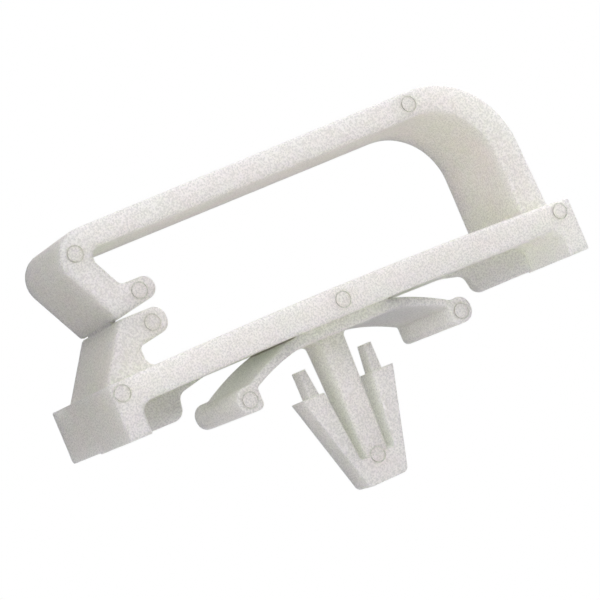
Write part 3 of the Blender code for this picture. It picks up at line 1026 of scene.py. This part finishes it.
def make_floor_material(stage):
    """Pale floor that takes shadows near the clip and turns plain white further out."""
    material = bpy.data.materials.new("pale_floor")
    material.use_nodes = True
    nodes, links = material.node_tree.nodes, material.node_tree.links
    matt = nodes["Principled BSDF"]
    matt.inputs["Base Color"].default_value = FLOOR_GREY
    matt.inputs["Roughness"].default_value = FLOOR_ROUGHNESS
    matt.inputs["Specular IOR Level"].default_value = 0.0
    white = nodes.new("ShaderNodeEmission")
    white.inputs["Strength"].default_value = 1.0
    distance = nodes.new("ShaderNodeVectorMath")
    distance.operation = "LENGTH"
    links.new(nodes.new("ShaderNodeTexCoord").outputs["Object"], distance.inputs[0])
    fade = nodes.new("ShaderNodeMapRange")
    fade.interpolation_type = "SMOOTHSTEP"
    fade.inputs["From Min"].default_value = stage.floor_plain
    fade.inputs["From Max"].default_value = stage.floor_fade
    links.new(distance.outputs["Value"], fade.inputs["Value"])
    both = nodes.new("ShaderNodeMath")
    both.operation = "MULTIPLY"
    links.new(fade.outputs["Result"], both.inputs[0])
    links.new(seen_directly(nodes, links), both.inputs[1])
    mix = nodes.new("ShaderNodeMixShader")
    links.new(both.outputs[0], mix.inputs[0])
    links.new(matt.outputs[0], mix.inputs[1])
    links.new(white.outputs[0], mix.inputs[2])
    links.new(mix.outputs[0], nodes["Material Output"].inputs["Surface"])
    return material


def light_world(stage):
    """Even light from all round, in front of plain white."""
    world = bpy.data.worlds.new("studio")
    bpy.context.scene.world = world
    world.use_nodes = True
    nodes, links = world.node_tree.nodes, world.node_tree.links
    ambient = nodes["Background"]
    ambient.inputs["Color"].default_value = WHITE
    ambient.inputs["Strength"].default_value = stage.ambient
    white = nodes.new("ShaderNodeBackground")
    white.inputs["Color"].default_value = WHITE
    white.inputs["Strength"].default_value = 1.0
    mix = nodes.new("ShaderNodeMixShader")
    links.new(seen_directly(nodes, links), mix.inputs[0])
    links.new(ambient.outputs[0], mix.inputs[1])
    links.new(white.outputs[0], mix.inputs[2])
    links.new(mix.outputs[0], nodes["World Output"].inputs["Surface"])


class CLIP_OT_stage(bpy.types.Operator):
    """Set the stage: pale floor, soft light and the camera"""

    bl_idname = "clip.stage"
    bl_label = "Set the Stage"

    def execute(self, context):
        stage = context.scene.cable_clip.stage
        half = stage.floor_size / 2.0
        corners = [
            (x, y, -stage.floor_drop)
            for x, y in ((-half, -half), (half, -half), (half, half), (-half, half))
        ]
        mesh = bpy.data.meshes.new("floor")
        mesh.from_pydata(corners, [], [(0, 1, 2, 3)])
        mesh.materials.append(make_floor_material(stage))
        floor = bpy.data.objects.new("floor", mesh)
        context.scene.collection.objects.link(floor)

        light_world(stage)
        for side, (place, diameter) in LAMPS.items():
            add_lamp(side + "_light", place, diameter, getattr(stage, side))
        add_camera(stage)
        context.scene.view_settings.view_transform = "Standard"
        return {"FINISHED"}


class CLIP_PT_panel(bpy.types.Panel):
    bl_idname = "CLIP_PT_panel"
    bl_label = "Cable Clip"
    bl_space_type = "VIEW_3D"
    bl_region_type = "UI"
    bl_category = "Cable Clip"

    def draw(self, context):
        clip = context.scene.cable_clip
        for operator in OPERATORS:
            self.layout.operator(operator.bl_idname)
        for group in clip.bl_rna.properties:
            if group.type != "POINTER" or group.identifier == "rna_type":
                continue
            box = self.layout.box()
            box.label(text=group.name)
            sizes = getattr(clip, group.identifier)
            for size in sizes.bl_rna.properties:
                if size.identifier not in ("rna_type", "name"):
                    box.prop(sizes, size.identifier)


GROUPS = (
    CLIP_PG_base, CLIP_PG_rib, CLIP_PG_loop, CLIP_PG_hooks, CLIP_PG_wings, CLIP_PG_arrow,
    CLIP_PG_marks, CLIP_PG_nylon, CLIP_PG_stage, CLIP_PG_clip,
)
OPERATORS = (CLIP_OT_moulding, CLIP_OT_stage)


def register():
    for cls in (*GROUPS, *OPERATORS, CLIP_PT_panel):
        bpy.utils.register_class(cls)
    bpy.types.Scene.cable_clip = PointerProperty(type=CLIP_PG_clip, name="Cable Clip")


def unregister():
    del bpy.types.Scene.cable_clip
    for cls in reversed((*GROUPS, *OPERATORS, CLIP_PT_panel)):
        bpy.utils.unregister_class(cls)


def main():
    register()
    bpy.ops.clip.moulding()
    bpy.ops.clip.stage()


if __name__ == "__main__":
    main()
